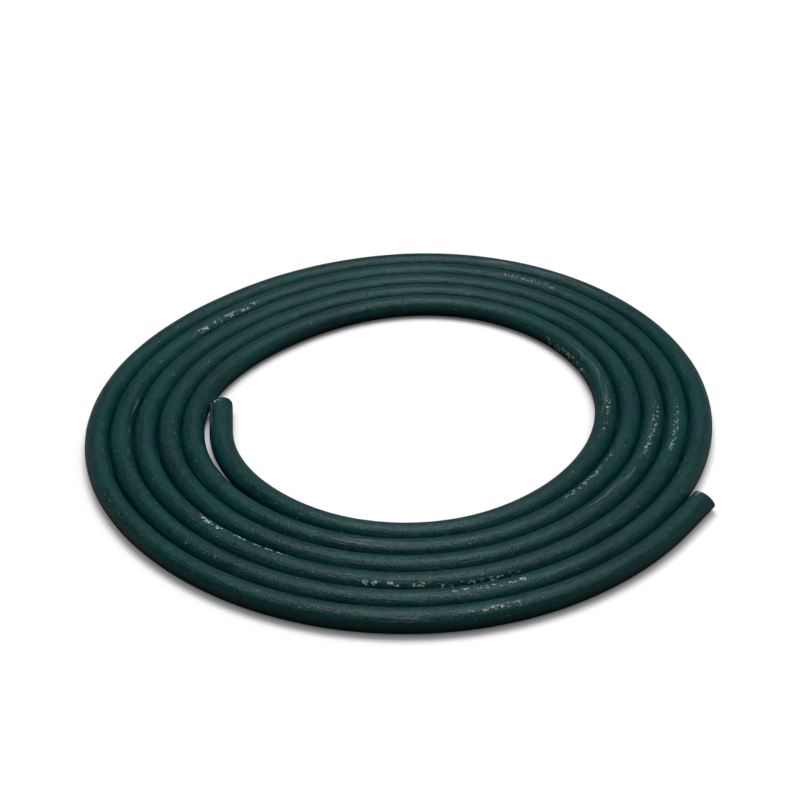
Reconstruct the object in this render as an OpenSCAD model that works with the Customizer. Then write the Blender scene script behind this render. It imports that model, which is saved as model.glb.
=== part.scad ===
// Soaker hose: one length of porous rubber hose, wound into a single flat
// coil that lies on the floor, with both ends cut bare and left open.
// Millimetres, +Z up, the floor at Z = 0, the origin under the middle of the
// coil's box. The hose runs clockwise, seen from above, from its outer end in.

/* [Hose] */
// Inside diameter of the hose
bore_d = 15.9; // [12:0.1:18]
// Thickness of its porous rubber wall
wall = 2.2; // [1.5:0.1:3]

/* [Coil] */
// Whole turns in the coil
coil_turns = 5; // [3:1:6]
// Distance from the coil's middle to the hose, before the turns close in
coil_r = 282; // [260:1:400]
// Gap between one turn and the next
turn_gap = 0.5; // [0.5:0.05:3]
// How far the turns swell along the coil's long way and draw in across it
oval_swell = 8; // [0:0.5:10]
// Direction of the long way, clockwise from +X
oval_angle = 132; // [90:1:180]
// How far the turns swell at three places round the coil
three_swell = 2.5; // [0:0.1:4]
// Direction of the first of those three places, clockwise from +X
three_angle = 56; // [0:1:119]
// How far the turns swell at four places round the coil, the first at +X
four_swell = 1.2; // [0:0.1:2]

/* [Ends] */
// Length of the straight piece at each end of the hose
end_length = 30; // [15:1:32]

/* [Hidden] */

hose_d = bore_d + 2 * wall;
pitch = hose_d + turn_gap;

// The wound hose is pressed flat underneath by a tenth of its diameter, and
// the straight ends stay round, so the runs between rise by as much.
coil_z = hose_d / 2 - hose_d / 10;
end_z = hose_d / 2;

// Rings of the swept tubes
rings_per_turn = 24;
coil_sides = 6;
run_sides = 12;

// Direction in which the coil starts, clockwise from +X
first_angle = 90;
last_angle = first_angle + 360 * coil_turns;

// Routes of the two runs, from the coil to the straight end: degrees past the
// coil's own end, and how far the hose lies outside the spiral's line there.
outer_route = [[7.5, 0], [15, 0], [22.5, 0], [30, 0], [37.5, 0], [45, 0], [51, 0], [57, 0]];
inner_route = [[15, 0], [30, -1], [45, -2.5], [60, -3.6], [75, -4], [84, -4.4]];

// Distance from the middle to the hose's axis, a degrees clockwise from +X,
// counted on through every turn.
function spiral_r(a) =
    coil_r - pitch * a / 360
    + oval_swell * cos(2 * (a - oval_angle))
    + three_swell * cos(3 * (a - three_angle))
    + four_swell * cos(4 * a);

function spiral_point(a, outward, z) =
    let (r = spiral_r(a) + outward) [r * cos(a), -r * sin(a), z];

function unit(v) = v / norm(v);

// Height of point i of a run of n points: level for one step at both its ends
function run_z(i, n) =
    coil_z + (end_z - coil_z) * min(1, max(0, (i - 1) / (n - 3)));

// The hose's axis in the coil, with a straight piece one diameter long at
// both ends that points at the first point of the run it meets.
coil_stations = [
    for (i = [0 : rings_per_turn * coil_turns])
        spiral_point(first_angle + 360 * i / rings_per_turn, 0, coil_z)
];
outer_next = spiral_point(first_angle - outer_route[0][0], outer_route[0][1], coil_z);
inner_next = spiral_point(last_angle + inner_route[0][0], inner_route[0][1], coil_z);
coil_first = coil_stations[0];
coil_last = coil_stations[len(coil_stations) - 1];
coil_path = concat(
    [coil_first + hose_d * unit(outer_next - coil_first)],
    coil_stations,
    [coil_last + hose_d * unit(inner_next - coil_last)]
);

// The hose's axis in each run, from the coil to the straight end
function run_path(start, route, from_angle, way) =
    let (n = len(route) + 1)
    concat([start], [
        for (i = [1 : n - 1])
            spiral_point(from_angle + way * route[i - 1][0], route[i - 1][1], run_z(i, n))
    ]);

outer_path = run_path(coil_path[0], outer_route, first_angle, -1);
inner_path = run_path(coil_path[len(coil_path) - 1], inner_route, last_angle, 1);

// Level direction of a path at its point i, halfway between its two steps
function step(path, i) =
    let (d = path[i + 1] - path[i]) unit([d.x, d.y, 0]);
function heading(path, i) =
    i == 0 ? step(path, 0)
    : i == len(path) - 1 ? step(path, i - 1)
    : unit(step(path, i - 1) + step(path, i));

// One ring of points round a path's point i, half_w to either side of it and
// half_h above and below, flat where it meets the floor
function ring(path, i, half_w, half_h, sides) =
    let (h = heading(path, i), c = path[i])
    [
        for (k = [0 : sides - 1])
            let (side = half_w * cos(360 * k / sides), up = half_h * sin(360 * k / sides))
            [c.x + side * h.y, c.y - side * h.x, max(0, c.z + up)]
    ];

function rings(path, half_w, half_h, sides) =
    [for (i = [0 : len(path) - 1]) each ring(path, i, half_w, half_h, sides)];

// Highest that a ring of so many sides reaches, as a share of half_h: the
// outside is drawn this much taller, so that its flat top is at full height.
function crown(sides) = max([for (k = [0 : sides - 1]) sin(360 * k / sides)]);
function outer_rings(path, sides) =
    rings(path, hose_d / 2, hose_d / 2 / crown(sides), sides);
function bore_rings(path, sides) =
    rings(path, bore_d / 2, bore_d / 2, sides);

// Triangles between two neighbouring rings, the first starting at point a and
// the second at point b; flip turns them inside out.
function band(a, b, sides, flip) = [
    for (k = [0 : sides - 1])
        let (m = (k + 1) % sides)
        each flip
            ? [[a + k, b + k, a + m], [a + m, b + k, b + m]]
            : [[a + k, a + m, b + k], [a + m, b + m, b + k]]
];

// Hollow tube swept along a path, open at both ends
module swept_hose(path, sides) {
    n = len(path);
    inside = n * sides;
    last = (n - 1) * sides;
    points = concat(outer_rings(path, sides), bore_rings(path, sides));
    faces = concat(
        [for (i = [0 : n - 2]) each band(i * sides, (i + 1) * sides, sides, false)],
        [for (i = [0 : n - 2])
            each band(inside + i * sides, inside + (i + 1) * sides, sides, true)],
        band(0, inside, sides, true),
        band(last, inside + last, sides, false)
    );
    polyhedron(points, faces, convexity = 10);
}

// Straight piece of hose with a true bore, going on from the end of a path
module straight_end(path) {
    last = len(path) - 1;
    h = heading(path, last);
    translate(path[last])
        rotate([0, 90, atan2(h.y, h.x)])
            difference() {
                cylinder(h = end_length, d = hose_d, $fn = 64);
                translate([0, 0, -1])
                    cylinder(h = end_length + 2, d = bore_d, $fn = 64);
            }
}

// Middle of the box round the wound hose, which becomes the origin
outline_points = concat(
    outer_rings(coil_path, coil_sides),
    outer_rings(outer_path, run_sides)
);
outline_x = [for (p = outline_points) p.x];
outline_y = [for (p = outline_points) p.y];
middle = [
    (min(outline_x) + max(outline_x)) / 2,
    (min(outline_y) + max(outline_y)) / 2,
    0
];

// Least gap between the turns, from each ring's inner side point to the line
// along the outer side of the next turn in
function side_point(i, side) =
    let (h = heading(coil_path, i), c = coil_path[i])
    [c.x + side * h.y, c.y - side * h.x];
function line_distance(p, a, b) =
    let (d = b - a, t = min(1, max(0, (p - a) * d / (d * d)))) norm(p - a - t * d);
inward = hose_d / 2;
outward = -hose_d / 2;
turn_gaps = [
    for (i = [0 : len(coil_path) - rings_per_turn - 1])
        for (j = [i + rings_per_turn - 2 : min(i + rings_per_turn + 1, len(coil_path) - 2)])
            line_distance(
                side_point(i, inward), side_point(j, outward), side_point(j + 1, outward)
            )
];
echo(least_gap_between_turns = min(turn_gaps));

function path_length(path, i = 0) =
    i < len(path) - 1 ? norm(path[i + 1] - path[i]) + path_length(path, i + 1) : 0;
hose_length = path_length(outer_path) + path_length(coil_path)
    + path_length(inner_path) + 2 * end_length;
echo(hose_length = hose_length);

module outer_end() {
    color("darkslategray") translate(-middle) straight_end(outer_path);
}

module outer_run() {
    color("darkslategray") translate(-middle) swept_hose(outer_path, run_sides);
}

module coil() {
    color("darkslategray") translate(-middle) swept_hose(coil_path, coil_sides);
}

module inner_run() {
    color("darkslategray") translate(-middle) swept_hose(inner_path, run_sides);
}

module inner_end() {
    color("darkslategray") translate(-middle) straight_end(inner_path);
}

outer_end();
outer_run();
coil();
inner_run();
inner_end();
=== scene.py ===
"""Soaker hose: one length of porous rubber hose, wound flat on the floor and cut bare at
both ends. Metres, +Z up, the floor at Z = 0."""

import math

import bpy
import numpy as np
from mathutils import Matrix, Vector, noise


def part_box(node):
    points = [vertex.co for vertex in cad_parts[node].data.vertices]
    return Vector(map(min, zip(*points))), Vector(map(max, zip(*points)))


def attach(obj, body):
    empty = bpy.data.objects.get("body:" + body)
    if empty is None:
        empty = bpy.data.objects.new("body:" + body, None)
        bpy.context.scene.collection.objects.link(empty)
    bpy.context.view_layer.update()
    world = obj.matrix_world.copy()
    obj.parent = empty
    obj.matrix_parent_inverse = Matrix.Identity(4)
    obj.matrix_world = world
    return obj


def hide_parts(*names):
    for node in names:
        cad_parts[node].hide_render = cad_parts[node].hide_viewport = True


# The hose
HOSE_D = 0.0203
BORE_D = 0.0159
WALL = (HOSE_D - BORE_D) / 2
END_LENGTH = 0.030

# The wound route: a flat spiral that the hose follows clockwise, seen from above, from its
# outer end in. Angles are degrees clockwise from +X, counted on through every turn.
COIL_TURNS = 5
COIL_R = 0.282
TURN_GAP = 0.0005
OVAL_SWELL, OVAL_ANGLE = 0.008, 132
THREE_SWELL, THREE_ANGLE = 0.0025, 56
FOUR_SWELL = 0.0012
PITCH = HOSE_D + TURN_GAP
FIRST_ANGLE = 90
LAST_ANGLE = FIRST_ANGLE + 360 * COIL_TURNS

# The free runs past the coil's two ends: degrees past the coil's own end, and how far the
# hose lies outside the spiral's line there
OUTER_ROUTE = ((7.5, 0), (15, 0), (22.5, 0), (30, 0), (37.5, 0), (45, 0), (51, 0), (57, 0))
INNER_ROUTE = ((15, 0), (30, -0.001), (45, -0.0025), (60, -0.0036), (75, -0.004), (84, -0.0044))

# How finely the hose's line is cut up: in degrees along the spiral, then in metres, with
# its kinks eased over an odd number of points.
ANGLE_STEP = 0.25
PATH_STEP = 0.001
EASED_POINTS = 61

# How finely its skin is cut up. The two ends have finer rings, with twice the sides.
SIDES = 26
SKIN_STEP = 0.0028
BORE_STEP = 0.012
FINE_LENGTH = 0.030
FINE_STEP = 0.0012
FINE_BORE_STEP = 5 * FINE_STEP

# How much the hose's own weight presses it down and out against its neighbours, and how
# near the floor its skin comes
PRESSED_FLAT = 0.0002
PRESSED_WIDE = 1.018
LOWEST = 0.0001

# How far its line wanders from true, over what length, and where in the noise. The skin
# does so in long waves and short ripples, each with its length and its share.
LINE_WANDER, LINE_WAVE, LINE_SEED = 0.0001, 0.11, (4.7, 2.1)
SKIN_WANDER = 0.00014
SKIN_WAVE, WAVE_SHARE = 0.045, 0.6
SKIN_RIPPLE, RIPPLE_SHARE, RIPPLE_SEED = 0.011, 0.4, Vector((7, 3, 1))

# The cut ends, from the outside round the lip to the bore: how far in from the tip, and how
# far in from the outside. The faces that follow the rows in CUT_FACE are the cut's own.
LIP = ((0.0030, 0), (0.0016, 0), (0.0008, 0.00002), (0.0003, 0.00010), (0.0001, 0.00024),
       (0, 0.00045), (0, 0.00085), (0, 0.00125), (0, 0.00165), (0.0001, 0.00192),
       (0.0003, 0.00208), (0.0008, WALL), (0.0024, WALL))
CUT_FACE = range(3, 10)

# How the two cuts lie: how far in from the hose's full length, and how much further in for
# each metre up, and for each metre towards the coil's middle. Their lean eases away over a
# short reach.
OUTER_CUT = (0.0022, 0.50, -0.11)
INNER_CUT = (0.0005, 0.10, -0.12)
CUT_REACH = 0.030

# How rough the cuts are: how far their tears and crumbs stand out, how far in from the tip
# they reach, and how big they are
CUT_ROUGHNESS = 0.00045
TORN_REACH = 0.003
TEAR_SIZE, TEAR_SHARE = 0.0021, 0.7
CRUMB_SIZE, CRUMB_SHARE = 0.0009, 0.4

# The skin laid out flat for its texture maps: strips of its outside and of its bore side by
# side, with a little room between them. The last ring stays within the last strip.
SKIN_STRIPS, SKIN_STRIP_WIDTH = 10, 0.092
BORE_STRIPS, BORE_STRIP_WIDTH = 4, 0.019
STRIP_MARGIN = 0.002
STRIP_END = 0.008
NEARLY_ALL = 0.99999

# Worn places: how far along the hose from its outer tip, over what length, how far round
# from the side towards the coil's middle, how far to either side of that, in degrees, and
# how much of it shows. The first are scattered with pale crumbs, and the second rubbed in
# streaks.
CHALKED_PLACES = ((0.240, 0.045, 112, 13, 0.65), (1.915, 0.07, 95, 12, 0.9),
                  (2.555, 0.09, 56, 16, 0.8), (2.888, 0.07, 75, 16, 0.5),
                  (3.190, 0.09, 85, 16, 0.6), (3.470, 0.07, 148, 12, 0.75),
                  (3.535, 0.06, 135, 13, 0.8), (3.703, 0.035, 76, 15, 1.0),
                  (3.655, 0.07, 60, 14, 1.0), (4.637, 0.09, 98, 16, 0.6),
                  (6.035, 0.09, 78, 14, 0.7), (7.003, 0.085, 6, 24, 1.0),
                  (7.120, 0.07, 95, 14, 0.6), (7.649, 0.007, 120, 45, 0.7),
                  (0.006, 0.010, 50, 45, 0.6))
RUBBED_PLACES = ((0.310, 0.05, 128, 20, 0.5), (1.300, 0.15, 80, 20, 0.7),
                 (2.370, 0.06, 42, 12, 1.0), (4.700, 0.16, 92, 20, 0.7),
                 (6.260, 0.09, 105, 20, 0.8), (6.415, 0.07, 160, 14, 0.8),
                 (7.050, 0.14, 80, 18, 0.8), (7.632, 0.04, 160, 22, 2.2))

# One longer scratch, slanting down across the hose: where along it and how far round it
# starts, over how many degrees it runs, and how far along it bends meanwhile
LONG_SCRATCH = (0.2985, 98, 66, 0.012)

# The skin's two hues of rubber, and what lies over them: its colour, and how much it shows
GREEN_RUBBER = (0.0002, 0.0370, 0.0310, 1)
BLUE_RUBBER = (0.0004, 0.0300, 0.0350, 1)
# Grey chalky bloom laid on what faces up: partly real bloom, partly a painted sheen on the top
BLOOM_AND_SHEEN = ((0.105, 0.118, 0.120, 1), 0.01)
FINE_SCRATCH = ((0.26, 0.32, 0.30, 1), 0.10)
SLANTED_SCRATCH = ((0.24, 0.30, 0.28, 1), 0.30)
SPECK = ((0.24, 0.30, 0.29, 1), 0.50)
RUBBED = ((0.20, 0.24, 0.235, 1), 0.40)
CHALK = ((0.70, 0.76, 0.75, 1), 0.95)

# How rough the skin is, how much more so underneath, in its pores and under its bloom and
# painted top sheen, how high its bumps are, how strongly it shines, and the tint of that
SKIN_ROUGH = 0.385
UNDER_ROUGH, PORE_ROUGH, BLOOM_AND_SHEEN_ROUGH = 0.45, 0.25, 0.12
SKIN_RELIEF = 0.00034
SKIN_SHINE, SHINE_TINT = 0.27, (0.86, 1.0, 1.0, 1.0)

# The cut faces' darkest and palest crumbs, and what lies over them
DARK_CRUMB = (0.0012, 0.0140, 0.0145, 1)
PALE_CRUMB = (0.0060, 0.0400, 0.0400, 1)
# Near black in the open pores: painted shade
PORE_SHADE = ((0.0004, 0.003, 0.003, 1), 0.7)
CRUMB_SPECK = ((0.17, 0.21, 0.20, 1), 0.45)
CRUMB_ROUGH, CRUMB_RELIEF, CRUMB_SHINE = 0.72, 0.00035, 0.35

# The camera: where it looks on the floor, from how far, how many degrees down, and with a
# lens of how many millimetres
LOOKS_AT = Vector((-0.0013, 0.0401, 0))
CAMERA_DISTANCE = 1.592
CAMERA_ELEVATION = 34.23
CAMERA_LENS = 78.4

# The softboxes: name, place, width, and how bright each alone would make a white card that
# faces it in the coil's middle. The world adds a little light from all round.
SOFTBOXES = (("overhead", (0, 0.15, 1.9), 1.2, 0.86),
             ("rear", (0, 1.0, 1.8), 1.2, 0.10),
             ("right", (1.0, 0, 1.8), 1.2, 0.17),
             ("front", (0, -1.3, 1.6), 1.2, 0.03))
WORLD_LIGHT = 0.02

# The floor: half its width, how high the wall round it is, and where it lies. The lamps
# light its grey, which is far darker for light that bounces off it.
FLOOR_HALF, WALL_UP, FLOOR_Z = 30, 11, -0.0001
FLOOR_GREY, FLOOR_BOUNCE = (0.52, 0.52, 0.52, 1), (0.05, 0.05, 0.05, 1)

# The floor also glows, a little under the coil and fully, at 1, further off: how much under
# the coil, how far off it starts to rise, from where it is full, and how near the hose has
# to be to dim it
GLOW_UNDER, GLOW_STARTS, GLOW_FULL = 0.48, 0.1, 1.5
CONTACT_REACH = 0.009

# How bright the floor and the wall are in gloss, and how they darken where the hose hems
# them in: over what distance, and how steeply
GLOSS_WHITE = 0.35
HEMMED_REACH, HEMMED_POWER = 0.06, 5.0


# ---------------------------------------------------------------- the hose's line

def spiral_radius(angle):
    """Distance from the coil's middle to the hose's axis."""
    return (COIL_R - PITCH * angle / 360
            + OVAL_SWELL * math.cos(math.radians(2 * (angle - OVAL_ANGLE)))
            + THREE_SWELL * math.cos(math.radians(3 * (angle - THREE_ANGLE)))
            + FOUR_SWELL * math.cos(math.radians(4 * angle)))


def lean(angle):
    """How far outside the spiral's line the hose lies in its free runs."""
    outside = angle < FIRST_ANGLE
    past = FIRST_ANGLE - angle if outside else angle - LAST_ANGLE
    route = ((0, 0),) + (OUTER_ROUTE if outside else INNER_ROUTE)
    return float(np.interp(past, [a for a, _ in route], [x for _, x in route]))


def wound_point(angle):
    """The hose's axis at that angle, before the coil is set in its place."""
    r = spiral_radius(angle) + lean(angle)
    turn = math.radians(angle)
    return np.array([r * math.cos(turn), -r * math.sin(turn)])


def unit(v):
    return v / np.linalg.norm(v)


def distances(line):
    """How far along the line each of its points is."""
    return np.concatenate([[0], np.cumsum(np.linalg.norm(np.diff(line, axis=0), axis=1))])


def resampled(line, step):
    """The same line, with its points a step apart."""
    line = np.asarray(line, float)
    gone = distances(line)
    at = np.linspace(0, gone[-1], int(round(gone[-1] / step)) + 1)
    return np.stack([np.interp(at, gone, line[:, k]) for k in range(2)], 1)


def softened(line, span):
    """The line with its kinks eased over an odd number of points, and its ends kept."""
    weights = np.hanning(span + 2)[1:-1]
    weights /= weights.sum()
    half = span // 2
    before = 2 * line[0] - line[half:0:-1]
    after = 2 * line[-1] - line[-2:-half - 2:-1]
    padded = np.concatenate([before, line, after])
    return np.stack([np.convolve(padded[:, k], weights, "valid") for k in range(2)], 1)


def hose_axis():
    """Points a step apart along the middle of the hose, from its outer tip in, seen from
    above. The two straight ends go on in the line of the last two points of their runs."""
    first, last = FIRST_ANGLE - OUTER_ROUTE[-1][0], LAST_ANGLE + INNER_ROUTE[-1][0]
    outer_next = wound_point(FIRST_ANGLE - OUTER_ROUTE[-2][0])
    inner_next = wound_point(LAST_ANGLE + INNER_ROUTE[-2][0])
    wound = [wound_point(a) for a in np.arange(first, last + ANGLE_STEP / 2, ANGLE_STEP)]
    outward = unit(wound[0] - outer_next)
    inward = unit(wound[-1] - inner_next)
    outer_tip = wound[0] + END_LENGTH * outward
    inner_tip = wound[-1] + END_LENGTH * inward
    line = softened(resampled([outer_tip] + wound + [inner_tip], PATH_STEP), EASED_POINTS)
    low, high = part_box("outer_end")
    place = np.array([low.x + high.x, low.y + high.y]) / 2
    return line + place - (wound[0] + END_LENGTH / 2 * outward)


class HoseLine:
    """Where the middle of the hose is at a distance along it, and which way is inward."""

    def __init__(self, axis):
        self.axis = axis
        self.gone = distances(axis)
        self.length = float(self.gone[-1])
        heading = np.gradient(axis, axis=0)
        self.heading = heading / np.linalg.norm(heading, axis=1)[:, None]

    def at(self, s):
        """The middle and the level inward direction. Past a tip the line runs straight on."""
        x, y = (np.interp(s, self.gone, self.axis[:, k]) for k in range(2))
        hx, hy = (np.interp(s, self.gone, self.heading[:, k]) for k in range(2))
        size = math.hypot(hx, hy)
        past = min(s, 0) + max(s - self.length, 0)
        middle = Vector((x + past * hx / size, y + past * hy / size, 0))
        inward = Vector((hy / size, -hx / size, 0))
        sway = LINE_WANDER * noise.noise(Vector((s / LINE_WAVE, *LINE_SEED)))
        return middle + inward * sway, inward


# ---------------------------------------------------------------- the hose's skin

def spaced(start, end, step):
    """Stops about a step apart, from the first to the last, without the last."""
    count = max(1, int(round(abs(end - start) / step)))
    return [start + (end - start) * i / count for i in range(count)]


def ring_stops(length):
    """Every ring of the skin, once round from the outer end's bore: how far along the hose,
    how far in from the outside, how many sides, and whether the cut's face follows it."""
    fine = 2 * SIDES
    lip = [(s, depth, fine, i in CUT_FACE) for i, (s, depth) in enumerate(LIP)]
    back = [(s, depth, fine, i - 1 in CUT_FACE) for i, (s, depth) in enumerate(LIP)]
    near, bore_near = LIP[0][0], LIP[-1][0]
    stops = list(reversed(back))
    stops += [(s, 0, fine, False) for s in spaced(near, FINE_LENGTH, FINE_STEP)[1:]]
    stops += [(s, 0, SIDES, False)
              for s in spaced(FINE_LENGTH, length - FINE_LENGTH, SKIN_STEP)]
    stops += [(s, 0, fine, False)
              for s in spaced(length - FINE_LENGTH, length - near, FINE_STEP)]
    stops += [(length - s, depth, sides, face) for s, depth, sides, face in lip]
    stops += [(s, WALL, fine, False)
              for s in spaced(length - bore_near, length - FINE_LENGTH, FINE_BORE_STEP)[1:]]
    stops += [(s, WALL, SIDES, False)
              for s in spaced(length - FINE_LENGTH, FINE_LENGTH, BORE_STEP)]
    stops += [(s, WALL, fine, False)
              for s in spaced(FINE_LENGTH, bore_near, FINE_BORE_STEP)]
    return stops


def cut_shift(straight, length):
    """How much further along the hose a point sits because of a leaning, torn cut."""
    shift = 0
    for from_tip, cut, way in ((straight.z, OUTER_CUT, 1), (length - straight.z, INNER_CUT, -1)):
        if from_tip < CUT_REACH:
            eased = (1 - from_tip / CUT_REACH) ** 2
            shift += way * eased * (cut[0] + cut[1] * straight.y + cut[2] * straight.x)
        if from_tip < TORN_REACH:
            torn = noise.noise(Vector((straight.x, straight.y, way)) / TEAR_SIZE)
            crumb = noise.noise(Vector((straight.y, straight.x, way)) / CRUMB_SIZE)
            rough = CUT_ROUGHNESS * (1 - from_tip / TORN_REACH)
            shift += rough * (TEAR_SHARE * torn + CRUMB_SHARE * crumb)
    return shift


def skin_rise(straight):
    """How far the skin stands out from a true round tube."""
    slow = noise.noise(straight / SKIN_WAVE)
    quick = noise.noise(straight / SKIN_RIPPLE + RIPPLE_SEED)
    return SKIN_WANDER * (WAVE_SHARE * slow + RIPPLE_SHARE * quick)


def skin_point(line, s, depth, turn):
    """A point of the skin, and where it would be if the hose lay straight: towards the
    coil's middle, up, and along from the outer tip."""
    radius = HOSE_D / 2 - depth
    straight = Vector((radius * math.cos(turn), radius * math.sin(turn), s))
    middle, inward = line.at(s + cut_shift(straight, line.length))
    r = radius + skin_rise(straight)
    point = middle + inward * (PRESSED_WIDE * r * math.cos(turn))
    point.z = max(HOSE_D / 2 - PRESSED_FLAT + r * math.sin(turn), LOWEST)
    return point, straight


def ring_faces(a, b):
    """Faces between a ring of so many sides and the next, each as (ring, side) corners. One
    ring may have twice the sides of the other."""
    if a == b:
        return [((0, k), (1, k), (1, k + 1), (0, k + 1)) for k in range(a)]
    faces = []
    for k in range(min(a, b)):
        if b > a:
            faces += [((0, k), (1, 2 * k), (1, 2 * k + 1)), ((0, k), (1, 2 * k + 1), (0, k + 1)),
                      ((0, k + 1), (1, 2 * k + 1), (1, 2 * k + 2))]
        else:
            faces += [((1, k), (0, 2 * k + 1), (0, 2 * k)), ((1, k), (1, k + 1), (0, 2 * k + 1)),
                      ((1, k + 1), (0, 2 * k + 2), (0, 2 * k + 1))]
    return faces


def strip_place(run, mid_run, round_share, bore):
    """Where a corner lies on the flat layout, from how far its ring is along the skin, in
    strip lengths, how far its face's middle is, and its share of the way round."""
    strip = int(mid_run)
    width = BORE_STRIP_WIDTH if bore else SKIN_STRIP_WIDTH
    left = strip * width + (SKIN_STRIPS * SKIN_STRIP_WIDTH if bore else 0)
    u = left + STRIP_MARGIN + (width - 2 * STRIP_MARGIN) * round_share
    return u, STRIP_END + (1 - 2 * STRIP_END) * (run - strip)


def skin_points(line, stops):
    """Every point of the skin, where each would be if the hose lay straight, and the number
    of each ring's first point."""
    points, straights, starts = [], [], []
    for s, depth, sides, _ in stops:
        starts.append(len(points))
        for k in range(sides):
            point, straight = skin_point(line, s, depth, 2 * math.pi * k / sides)
            points.append(point)
            straights.append(straight)
    return points, straights, starts


def strip_runs(stops):
    """For each ring, how far it and the next are along the outside's strips or the bore's,
    in strip lengths, and whether they are the bore's."""
    count = len(stops)
    lip_end = max(i for i in range(count) if stops[i][3]) + len(LIP) - max(CUT_FACE) - 1
    run = [0]
    for (s, depth, _, _), (next_s, next_depth, _, _) in zip(stops, stops[1:] + stops[:1]):
        run.append(run[-1] + math.hypot(next_s - s, next_depth - depth))
    skin_run, bore_run = run[lip_end], run[count] - run[lip_end]
    skin = [[r / skin_run * SKIN_STRIPS * NEARLY_ALL for r in run[i:i + 2]]
            for i in range(lip_end)]
    bore = [[(r - skin_run) / bore_run * BORE_STRIPS * NEARLY_ALL for r in run[i:i + 2]]
            for i in range(lip_end, count)]
    return [(runs, False) for runs in skin] + [(runs, True) for runs in bore]


def hose_mesh(line):
    """The whole hose as one closed skin. Its place on the straightened hose is kept in the
    attribute "straight", and its flat layout in the UV map."""
    stops = ring_stops(line.length)
    points, straights, starts = skin_points(line, stops)

    faces, corners, cut = [], [], []
    for i, (runs, bore) in enumerate(strip_runs(stops)):
        rings = (i, (i + 1) % len(stops))
        for face in ring_faces(stops[rings[0]][2], stops[rings[1]][2]):
            faces.append([starts[rings[r]] + side % stops[rings[r]][2] for r, side in face])
            corners += [strip_place(runs[r], sum(runs) / 2, side / stops[rings[r]][2], bore)
                        for r, side in face]
            cut.append(int(stops[i][3]))

    mesh = bpy.data.meshes.new("soaker_hose")
    mesh.from_pydata(points, [], faces)
    mesh.update()
    place = mesh.attributes.new("straight", "FLOAT_VECTOR", "POINT")
    place.data.foreach_set("vector", np.array([tuple(v) for v in straights], np.float32).ravel())
    layout = mesh.uv_layers.new(name="OFBake")
    layout.data.foreach_set("uv", np.array(corners, np.float32).ravel())
    mesh.polygons.foreach_set("use_smooth", [True] * len(faces))
    mesh.polygons.foreach_set("material_index", cut)
    return mesh


# ---------------------------------------------------------------- wiring materials

class Wiring:
    """Adds nodes to a tree and wires them up. What is fed to a socket is a number, a colour,
    or another node's output."""

    def __init__(self, tree):
        self.tree = tree

    def node(self, kind, **settings):
        node = self.tree.nodes.new("ShaderNode" + kind)
        for name, value in settings.items():
            setattr(node, name, value)
        return node

    def feed(self, socket, value):
        if isinstance(value, bpy.types.NodeSocket):
            self.tree.links.new(value, socket)
        else:
            socket.default_value = value

    def math(self, operation, *values, clamp=False):
        node = self.node("Math", operation=operation, use_clamp=clamp)
        for socket, value in zip(node.inputs, values):
            self.feed(socket, value)
        return node.outputs[0]

    def vector(self, operation, *values):
        node = self.node("VectorMath", operation=operation)
        for socket, value in zip(node.inputs, values):
            self.feed(socket, value)
        return node.outputs[0]

    def scaled(self, place, factor):
        node = self.node("VectorMath", operation="SCALE")
        self.feed(node.inputs[0], place)
        self.feed(node.inputs["Scale"], factor)
        return node.outputs[0]

    def axes(self, place):
        """The place's three numbers: towards the coil's middle, up, and along the hose."""
        node = self.node("SeparateXYZ")
        self.feed(node.inputs[0], place)
        return node.outputs

    def stretched(self, place, across, along):
        """The place with its two directions across the hose and the one along it scaled."""
        node = self.node("CombineXYZ")
        for k, factor in enumerate((across, across, along)):
            self.feed(node.inputs[k], factor)
        return self.vector("MULTIPLY", place, node.outputs[0])

    def step(self, value, low, high, to_low=0.0, to_high=1.0):
        """The value eased from one level to another as it goes from low to high."""
        node = self.node("MapRange", interpolation_type="SMOOTHSTEP")
        for socket, number in zip(node.inputs, (value, low, high, to_low, to_high)):
            self.feed(socket, number)
        return node.outputs[0]

    def noise(self, place, detail=2.0, roughness=0.5, output="Fac"):
        node = self.node("TexNoise")
        self.feed(node.inputs["Vector"], place)
        node.inputs["Scale"].default_value = 1.0
        node.inputs["Detail"].default_value = detail
        node.inputs["Roughness"].default_value = roughness
        return node.outputs[output]

    def cells(self, place):
        """Distance to the nearest crumb's middle, and that crumb's three random numbers."""
        node = self.node("TexVoronoi")
        self.feed(node.inputs["Vector"], place)
        node.inputs["Scale"].default_value = 1.0
        parts = self.node("SeparateColor")
        self.feed(parts.inputs[0], node.outputs["Color"])
        return node.outputs["Distance"], parts.outputs

    def blend(self, amount, a, b):
        node = self.node("Mix", data_type="RGBA")
        self.feed(node.inputs["Factor"], amount)
        self.feed(node.inputs[6], a)
        self.feed(node.inputs[7], b)
        return node.outputs[2]


def new_group(name, inputs, outputs):
    """An empty node group: its wiring, what comes in by name, and what goes out by name."""
    tree = bpy.data.node_groups.new(name, "ShaderNodeTree")
    for label, kind in inputs:
        tree.interface.new_socket(label, in_out="INPUT", socket_type="NodeSocket" + kind)
    for label, kind in outputs:
        tree.interface.new_socket(label, in_out="OUTPUT", socket_type="NodeSocket" + kind)
    wiring = Wiring(tree)
    came = tree.nodes.new("NodeGroupInput").outputs
    goes = tree.nodes.new("NodeGroupOutput").inputs
    return wiring, came, goes


def placed(wiring, tree, **values):
    """A group set in a material with its own values, and what it puts out."""
    node = wiring.node("Group", node_tree=tree)
    for name, value in values.items():
        wiring.feed(node.inputs[name.replace("_", " ")], value)
    return node.outputs


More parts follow.
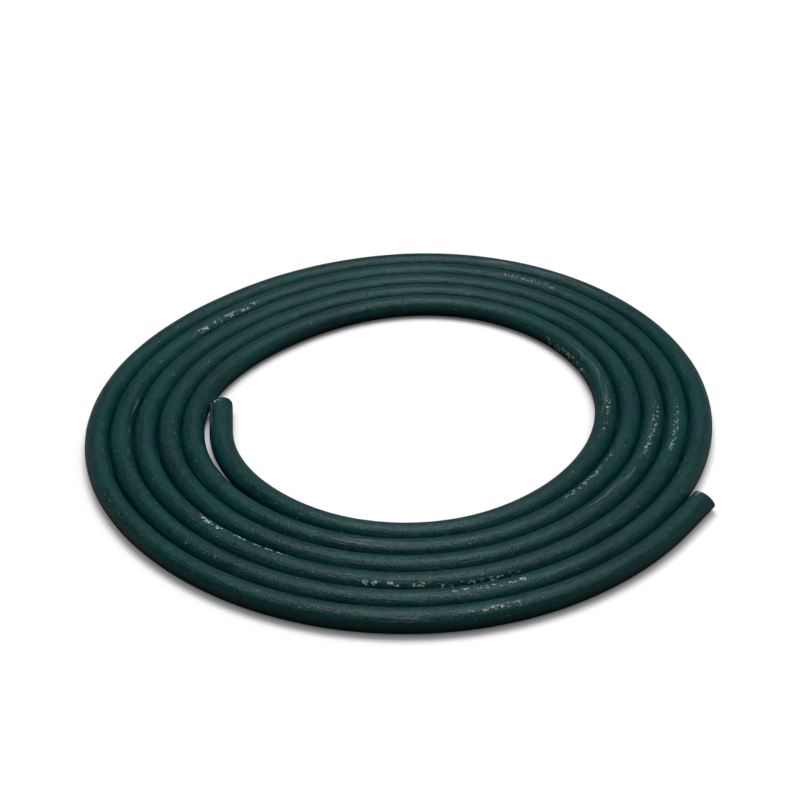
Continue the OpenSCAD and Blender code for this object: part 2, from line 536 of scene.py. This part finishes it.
def crumb_grain():
    """Rubber crumbs fused together: rounded lumps of two sizes with open pores between."""
    w, came, goes = new_group(
        "crumb_grain",
        (("Place", "Vector"), ("Crumb Size", "Float"), ("Pore Share", "Float")),
        (("Height", "Float"), ("Tone", "Float"), ("Pores", "Float")))
    per_metre = w.math("DIVIDE", 1.0, came["Crumb Size"])
    place = w.scaled(came["Place"], per_metre)
    wavy = w.noise(w.scaled(place, 0.7), detail=1, output="Color")
    bent = w.vector("ADD", place, w.scaled(wavy, 0.9))
    coarse, crumb = w.cells(bent)
    fine, _ = w.cells(w.scaled(bent, 2.3))
    lumps = w.math("ADD", w.math("MULTIPLY", coarse, -0.62), w.math("MULTIPLY", fine, -0.38))
    near, pore = w.cells(w.scaled(bent, 0.8))
    opened = w.math("LESS_THAN", pore[1], came["Pore Share"])
    pores = w.math("MULTIPLY", w.step(near, 0.20, 0.36, to_low=1.0, to_high=0.0), opened)
    w.feed(goes["Height"], w.math("SUBTRACT", lumps, w.math("MULTIPLY", pores, 0.8)))
    w.feed(goes["Tone"], crumb[0])
    w.feed(goes["Pores"], pores)
    return w.tree


def drawn_streaks():
    """Faint streaks that the die left along the hose as it was drawn."""
    w, came, goes = new_group(
        "drawn_streaks",
        (("Place", "Vector"), ("Width", "Float"), ("Length", "Float")),
        (("Streak", "Float"),))
    place = w.stretched(came["Place"], w.math("DIVIDE", 1.0, came["Width"]),
                        w.math("DIVIDE", 1.0, came["Length"]))
    w.feed(goes["Streak"], w.step(w.noise(place, detail=3, roughness=0.6), 0.32, 0.68))
    return w.tree


def pale_flecks():
    """Small pale crumbs and specks of chalk, scattered and ragged."""
    w, came, goes = new_group(
        "pale_flecks",
        (("Place", "Vector"), ("Spacing", "Float"), ("Fleck Size", "Float"), ("Share", "Float")),
        (("Flecks", "Float"),))
    per_metre = w.math("DIVIDE", 1.0, came["Spacing"])
    place = w.scaled(came["Place"], per_metre)
    ragged = w.scaled(w.noise(w.scaled(place, 3.1), output="Color"), 0.55)
    near, fleck = w.cells(w.stretched(w.vector("ADD", place, ragged), 1.0, 0.75))
    size = w.math("MULTIPLY", came["Fleck Size"], per_metre)
    size = w.math("MULTIPLY", size, w.math("MULTIPLY_ADD", fleck[2], 1.1, 0.35))
    shape = w.math("SUBTRACT", 1.0, w.math("DIVIDE", near, size), clamp=True)
    there = w.math("LESS_THAN", fleck[1], came["Share"])
    eaten = w.step(w.noise(w.scaled(came["Place"], 1500.0), roughness=0.7), 0.42, 0.56)
    w.feed(goes["Flecks"], w.math("MULTIPLY", w.step(shape, 0.0, 0.35),
                                  w.math("MULTIPLY", there, eaten)))
    return w.tree


def fine_scratches():
    """Long thin pale scratches, mostly along the hose, with bare stretches between them."""
    w, came, goes = new_group(
        "fine_scratches",
        (("Place", "Vector"), ("Spacing", "Float"), ("Length", "Float"), ("Share", "Float")),
        (("Scratches", "Float"),))
    place = w.stretched(came["Place"], w.math("DIVIDE", 1.0, came["Spacing"]),
                        w.math("DIVIDE", 1.0, came["Length"]))
    off_line = w.math("ABSOLUTE", w.math("SUBTRACT", w.noise(place, detail=0), 0.5))
    thin = w.step(off_line, 0.003, 0.012, to_low=1.0, to_high=0.0)
    patch = w.noise(w.vector("ADD", w.scaled(place, 0.55), (3.1, 7.7, 1.3)), detail=1)
    level = w.math("SUBTRACT", 1.0, came["Share"])
    kept = w.step(patch, level, w.math("ADD", level, 0.06))
    specks = w.noise(w.scaled(came["Place"], 500.0), detail=3, roughness=0.7)
    broken = w.step(specks, 0.45, 0.6)
    w.feed(goes["Scratches"], w.math("MULTIPLY", thin, w.math("MULTIPLY", kept, broken)))
    return w.tree


def chalky_bloom_and_top_sheen():
    """The greyish bloom of old rubber in cloudy patches, laid only on what faces up, so that it
    also paints a faint sheen on the hose's top.
    """
    w, came, goes = new_group(
        "chalky_bloom_and_top_sheen",
        (("Place", "Vector"), ("Patch Size", "Float")),
        (("Bloom_And_Sheen", "Float"),))
    place = w.stretched(came["Place"], w.math("DIVIDE", 1.0, came["Patch Size"]),
                        w.math("DIVIDE", 0.45, came["Patch Size"]))
    cloud = w.step(w.noise(place, detail=4, roughness=0.6), 0.42, 0.72)
    _, up, _ = w.axes(came["Place"])
    # Only on what faces up, so that the grey also paints a sheen on the hose's top
    upward = w.step(up, -0.004, 0.009)
    w.feed(goes["Bloom_And_Sheen"], w.math("MULTIPLY", cloud, upward))
    return w.tree


def rubbed_stretch():
    """One stretch of the hose, on one side of it: where worn printing was."""
    w, came, goes = new_group(
        "rubbed_stretch",
        (("Place", "Vector"), ("At", "Float"), ("Length", "Float"), ("Turn", "Float"),
         ("Spread", "Float"), ("Much", "Float")),
        (("Inside", "Float"),))
    x, y, s = w.axes(came["Place"])
    from_middle = w.math("ABSOLUTE", w.math("SUBTRACT", s, came["At"]))
    past = w.math("DIVIDE", from_middle, came["Length"])
    turn = w.math("SUBTRACT", w.math("ARCTAN2", y, x), w.math("RADIANS", came["Turn"]))
    aside = w.math("DIVIDE", w.math("ARCCOSINE", w.math("COSINE", turn)),
                   w.math("RADIANS", came["Spread"]))
    inside = w.math("MULTIPLY", w.step(past, 0.38, 0.5, to_low=1.0, to_high=0.0),
                    w.step(aside, 0.6, 1.0, to_low=1.0, to_high=0.0))
    w.feed(goes["Inside"], w.math("MULTIPLY", inside, came["Much"]))
    return w.tree


def slanted_scratch():
    """One thin scratch that starts across the hose and bends away along it."""
    w, came, goes = new_group(
        "slanted_scratch",
        (("Place", "Vector"), ("At", "Float"), ("Turn", "Float"), ("Reach", "Float"),
         ("Bend", "Float")),
        (("Scratch", "Float"),))
    x, y, s = w.axes(came["Place"])
    turn = w.math("SUBTRACT", w.math("DEGREES", w.math("ARCTAN2", y, x)), came["Turn"])
    run = w.math("DIVIDE", turn, came["Reach"])
    bent = w.math("MULTIPLY", came["Bend"], w.math("POWER", run, 2.0))
    middle = w.math("ADD", came["At"], bent)
    shaky = w.noise(w.scaled(came["Place"], 300.0), detail=1)
    shaken = w.math("MULTIPLY_ADD", shaky, 0.0016, -0.0008)
    off_line = w.math("ABSOLUTE", w.math("SUBTRACT", w.math("ADD", s, shaken), middle))
    thin = w.step(off_line, 0.0001, 0.0007, to_low=1.0, to_high=0.0)
    within = w.math("MULTIPLY", w.step(run, 0.0, 0.15),
                    w.step(run, 0.8, 1.0, to_low=1.0, to_high=0.0))
    w.feed(goes["Scratch"], w.math("MULTIPLY", thin, within))
    return w.tree


class Effects:
    """The surface effects that the hose's materials share."""

    def __init__(self):
        self.grain = crumb_grain()
        self.streaks = drawn_streaks()
        self.flecks = pale_flecks()
        self.scratches = fine_scratches()
        self.bloom_and_sheen = chalky_bloom_and_top_sheen()
        self.stretch = rubbed_stretch()
        self.slanted = slanted_scratch()


def new_material(name):
    """A material's wiring, its shader and the place on the straightened hose."""
    material = bpy.data.materials.new(name)
    material.use_nodes = True
    wiring = Wiring(material.node_tree)
    shader = material.node_tree.nodes["Principled BSDF"]
    straight = wiring.node("Attribute", attribute_name="straight").outputs["Vector"]
    return material, wiring, shader, straight


def bumped(wiring, height, distance):
    """The surface's normal where it stands out by the height times the distance."""
    bump = wiring.node("Bump")
    bump.inputs["Strength"].default_value = 1.0
    bump.inputs["Distance"].default_value = distance
    wiring.feed(bump.inputs["Height"], height)
    return bump.outputs[0]


def worn_places(w, effects, place, rows):
    """Where any of the worn places in the rows is."""
    inside = None
    for at, length, turn, spread, much in rows:
        one = placed(w, effects.stretch, Place=place, At=at, Length=length, Turn=turn,
                     Spread=spread, Much=much)["Inside"]
        inside = one if inside is None else w.math("MAXIMUM", inside, one)
    return inside


def patches(w, place, across, along, **grain):
    """Soft patches at random, of about that size across the hose and along it."""
    return w.noise(w.stretched(place, 1 / across, 1 / along), **grain)


def laid_over(w, colour, mask, paint, much):
    """The colour with so much of a paint over it where the mask is."""
    return w.blend(w.math("MULTIPLY", mask, much), colour, paint)


def varied(w, *parts):
    """1, and for each part, how far it is from its middle value of a half, times its share."""
    total = 1.0
    for value, share in parts:
        total = w.math("ADD", total, w.math("MULTIPLY_ADD", value, share, -share / 2))
    return total


def porous_skin(effects):
    """The hose's dark green-black skin: matt, finely porous, streaked and a little chalky,
    with a faint painted sheen on its top and painted shade in its pores.
    """
    material, w, shader, place = new_material("porous_skin")
    grain = placed(w, effects.grain, Place=place, Crumb_Size=0.0015, Pore_Share=0.1)
    streak = placed(w, effects.streaks, Place=place, Width=0.0017, Length=0.035)["Streak"]
    slow = patches(w, place, across=0.030, along=0.075)
    quick = patches(w, place, across=0.0050, along=0.009, detail=3, roughness=0.65)
    hue = w.step(patches(w, place, across=0.012, along=0.028), 0.3, 0.7)
    rubber = w.blend(hue, GREEN_RUBBER, BLUE_RUBBER)
    level = varied(w, (slow, 0.9), (quick, 1.1), (grain["Tone"], 0.7), (streak, 0.45))
    # Darker in the pores: painted shade in the open pores
    level = w.math("SUBTRACT", level, w.math("MULTIPLY", grain["Pores"], 0.5))
    colour = w.scaled(rubber, w.math("MAXIMUM", level, 0.15))
    # Grey bloom on what faces up: partly real bloom, partly a painted top sheen
    bloom_and_sheen = placed(w, effects.bloom_and_sheen, Place=place, Patch_Size=0.022)["Bloom_And_Sheen"]
    colour = laid_over(w, colour, bloom_and_sheen, *BLOOM_AND_SHEEN)
    scratch = placed(w, effects.scratches, Place=place, Spacing=0.010, Length=0.045,
                     Share=0.25)["Scratches"]
    colour = laid_over(w, colour, scratch, *FINE_SCRATCH)
    at, turn, reach, bend = LONG_SCRATCH
    slanted = placed(w, effects.slanted, Place=place, At=at, Turn=turn, Reach=reach,
                     Bend=bend)["Scratch"]
    colour = laid_over(w, colour, slanted, *SLANTED_SCRATCH)
    speck = placed(w, effects.flecks, Place=place, Spacing=0.0045, Fleck_Size=0.0008,
                   Share=0.35)["Flecks"]
    colour = laid_over(w, colour, speck, *SPECK)
    rubbed = w.math("MULTIPLY", w.step(streak, 0.45, 0.95),
                    worn_places(w, effects, place, RUBBED_PLACES))
    colour = laid_over(w, colour, rubbed, *RUBBED)
    crumbs = placed(w, effects.flecks, Place=place, Spacing=0.0018, Fleck_Size=0.0011,
                    Share=0.55)["Flecks"]
    chalk = w.math("MULTIPLY", crumbs, worn_places(w, effects, place, CHALKED_PLACES))
    colour = laid_over(w, colour, chalk, *CHALK)
    w.feed(shader.inputs["Base Color"], colour)

    _, up, _ = w.axes(place)
    under = w.step(up, -0.006, 0.003, to_low=UNDER_ROUGH, to_high=0.0)
    rough = w.math("ADD", w.math("MULTIPLY_ADD", streak, -0.04, SKIN_ROUGH), under)
    rough = w.math("ADD", rough, w.math("MULTIPLY", grain["Pores"], PORE_ROUGH))
    rough = w.math("ADD", rough, w.math("MULTIPLY", bloom_and_sheen, BLOOM_AND_SHEEN_ROUGH))
    rough = w.math("ADD", rough, w.math("MULTIPLY_ADD", quick, 0.2, -0.1), clamp=True)
    w.feed(shader.inputs["Roughness"], rough)
    height = w.math("ADD", grain["Height"], w.math("MULTIPLY", streak, 0.3))
    height = w.math("ADD", height, w.math("MULTIPLY", quick, 1.3))
    w.feed(shader.inputs["Normal"], bumped(w, height, SKIN_RELIEF))
    shader.inputs["Specular IOR Level"].default_value = SKIN_SHINE
    shader.inputs["Specular Tint"].default_value = SHINE_TINT
    return material


def cut_crumb(effects):
    """The freshly cut face of the wall: coarse black crumbs, torn and dull, with painted
    shade in the open pores between them.
    """
    material, w, shader, place = new_material("cut_crumb")
    grain = placed(w, effects.grain, Place=place, Crumb_Size=0.0009, Pore_Share=0.45)
    speck = placed(w, effects.flecks, Place=place, Spacing=0.0022, Fleck_Size=0.0008,
                   Share=0.40)["Flecks"]
    colour = w.blend(grain["Tone"], DARK_CRUMB, PALE_CRUMB)
    # Near black in the open pores: painted shade
    colour = laid_over(w, colour, grain["Pores"], *PORE_SHADE)
    colour = laid_over(w, colour, speck, *CRUMB_SPECK)
    w.feed(shader.inputs["Base Color"], colour)
    w.feed(shader.inputs["Roughness"], w.math("MULTIPLY_ADD", grain["Tone"], 0.2, CRUMB_ROUGH))
    w.feed(shader.inputs["Normal"], bumped(w, grain["Height"], CRUMB_RELIEF))
    shader.inputs["Specular IOR Level"].default_value = CRUMB_SHINE
    return material


# ---------------------------------------------------------------- the scene

def make_hose():
    line = HoseLine(hose_axis())
    mesh = hose_mesh(line)
    effects = Effects()
    mesh.materials.append(porous_skin(effects))
    mesh.materials.append(cut_crumb(effects))
    hose = bpy.data.objects.new("soaker_hose", mesh)
    bpy.context.scene.collection.objects.link(hose)
    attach(hose, "root")
    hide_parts("outer_end", "outer_run", "coil", "inner_run", "inner_end")


def make_camera():
    camera = bpy.data.objects.new("camera", bpy.data.cameras.new("camera"))
    camera.data.lens = CAMERA_LENS
    tilt = math.radians(CAMERA_ELEVATION)
    camera.location = LOOKS_AT + CAMERA_DISTANCE * Vector((0, -math.cos(tilt), math.sin(tilt)))
    camera.rotation_euler = (math.pi / 2 - tilt, 0, 0)
    bpy.context.scene.collection.objects.link(camera)
    bpy.context.scene.camera = camera


def open_share(wiring, distance):
    """How much of the view up from a surface is clear of other things that near."""
    node = wiring.node("AmbientOcclusion")
    node.inputs["Distance"].default_value = distance
    return node.outputs["AO"]


def studio_white(wiring):
    """1 for the rays that show the studio itself, seen directly or through glass. In gloss
    it is dimmer, and dimmest on the floor where the object hems it in."""
    path = wiring.node("LightPath").outputs
    open_floor = wiring.math("POWER", open_share(wiring, HEMMED_REACH), HEMMED_POWER)
    gloss = wiring.math("MULTIPLY", path["Is Glossy Ray"],
                        wiring.math("MULTIPLY", open_floor, GLOSS_WHITE))
    shown = wiring.math("MAXIMUM", path["Is Camera Ray"], gloss)
    return wiring.math("MAXIMUM", shown, path["Is Transmission Ray"])


def make_floor():
    """The white floor, with a wall all round it far off."""
    mesh = bpy.data.meshes.new("floor")
    half = FLOOR_HALF
    ring = [(-half, -half), (half, -half), (half, half), (-half, half)]
    points = [(x, y, z) for z in (FLOOR_Z, WALL_UP) for x, y in ring]
    walls = [(k, (k + 1) % 4, (k + 1) % 4 + 4, k + 4) for k in range(4)]
    mesh.from_pydata(points, [], [(0, 1, 2, 3)] + walls)
    floor = bpy.data.objects.new("floor", mesh)
    bpy.context.scene.collection.objects.link(floor)
    material = bpy.data.materials.new("white_floor")
    material.use_nodes = True
    w = Wiring(material.node_tree)
    shader = material.node_tree.nodes["Principled BSDF"]
    shown = studio_white(w)
    w.feed(shader.inputs["Base Color"], w.blend(shown, FLOOR_BOUNCE, FLOOR_GREY))
    shader.inputs["Roughness"].default_value = 0.9
    shader.inputs["Specular IOR Level"].default_value = 0
    clear = open_share(w, CONTACT_REACH)
    away = w.node("VectorMath", operation="LENGTH")
    w.feed(away.inputs[0], w.node("NewGeometry").outputs["Position"])
    glow = w.step(away.outputs["Value"], GLOW_STARTS, GLOW_FULL, to_low=GLOW_UNDER)
    w.feed(shader.inputs["Emission Color"], (1, 1, 1, 1))
    w.feed(shader.inputs["Emission Strength"],
           w.math("MULTIPLY", w.math("MULTIPLY", glow, clear), shown))
    mesh.materials.append(material)


def make_lights():
    for name, place, width, brightness in SOFTBOXES:
        lamp = bpy.data.lights.new(name + "_softbox", "AREA")
        lamp.shape = "DISK"
        lamp.size = width
        place = Vector(place)
        lamp.energy = brightness * math.pi ** 2 * place.length_squared
        softbox = bpy.data.objects.new(name + "_softbox", lamp)
        softbox.location = place
        softbox.rotation_euler = (-place).to_track_quat("-Z", "Y").to_euler()
        bpy.context.scene.collection.objects.link(softbox)
    world = bpy.data.worlds.new("studio")
    bpy.context.scene.world = world
    world.use_nodes = True
    background = world.node_tree.nodes["Background"]
    background.inputs["Color"].default_value = (1, 1, 1, 1)
    background.inputs["Strength"].default_value = WORLD_LIGHT


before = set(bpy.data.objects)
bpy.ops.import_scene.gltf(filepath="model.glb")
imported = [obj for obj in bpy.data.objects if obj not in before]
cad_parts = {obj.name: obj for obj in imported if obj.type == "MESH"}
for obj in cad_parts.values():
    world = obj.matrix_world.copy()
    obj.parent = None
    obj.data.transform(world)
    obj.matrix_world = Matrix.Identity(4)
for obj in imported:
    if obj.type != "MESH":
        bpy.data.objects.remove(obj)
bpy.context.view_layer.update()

make_camera()
make_hose()
make_floor()
make_lights()

bpy.context.scene.view_settings.view_transform = "Standard"
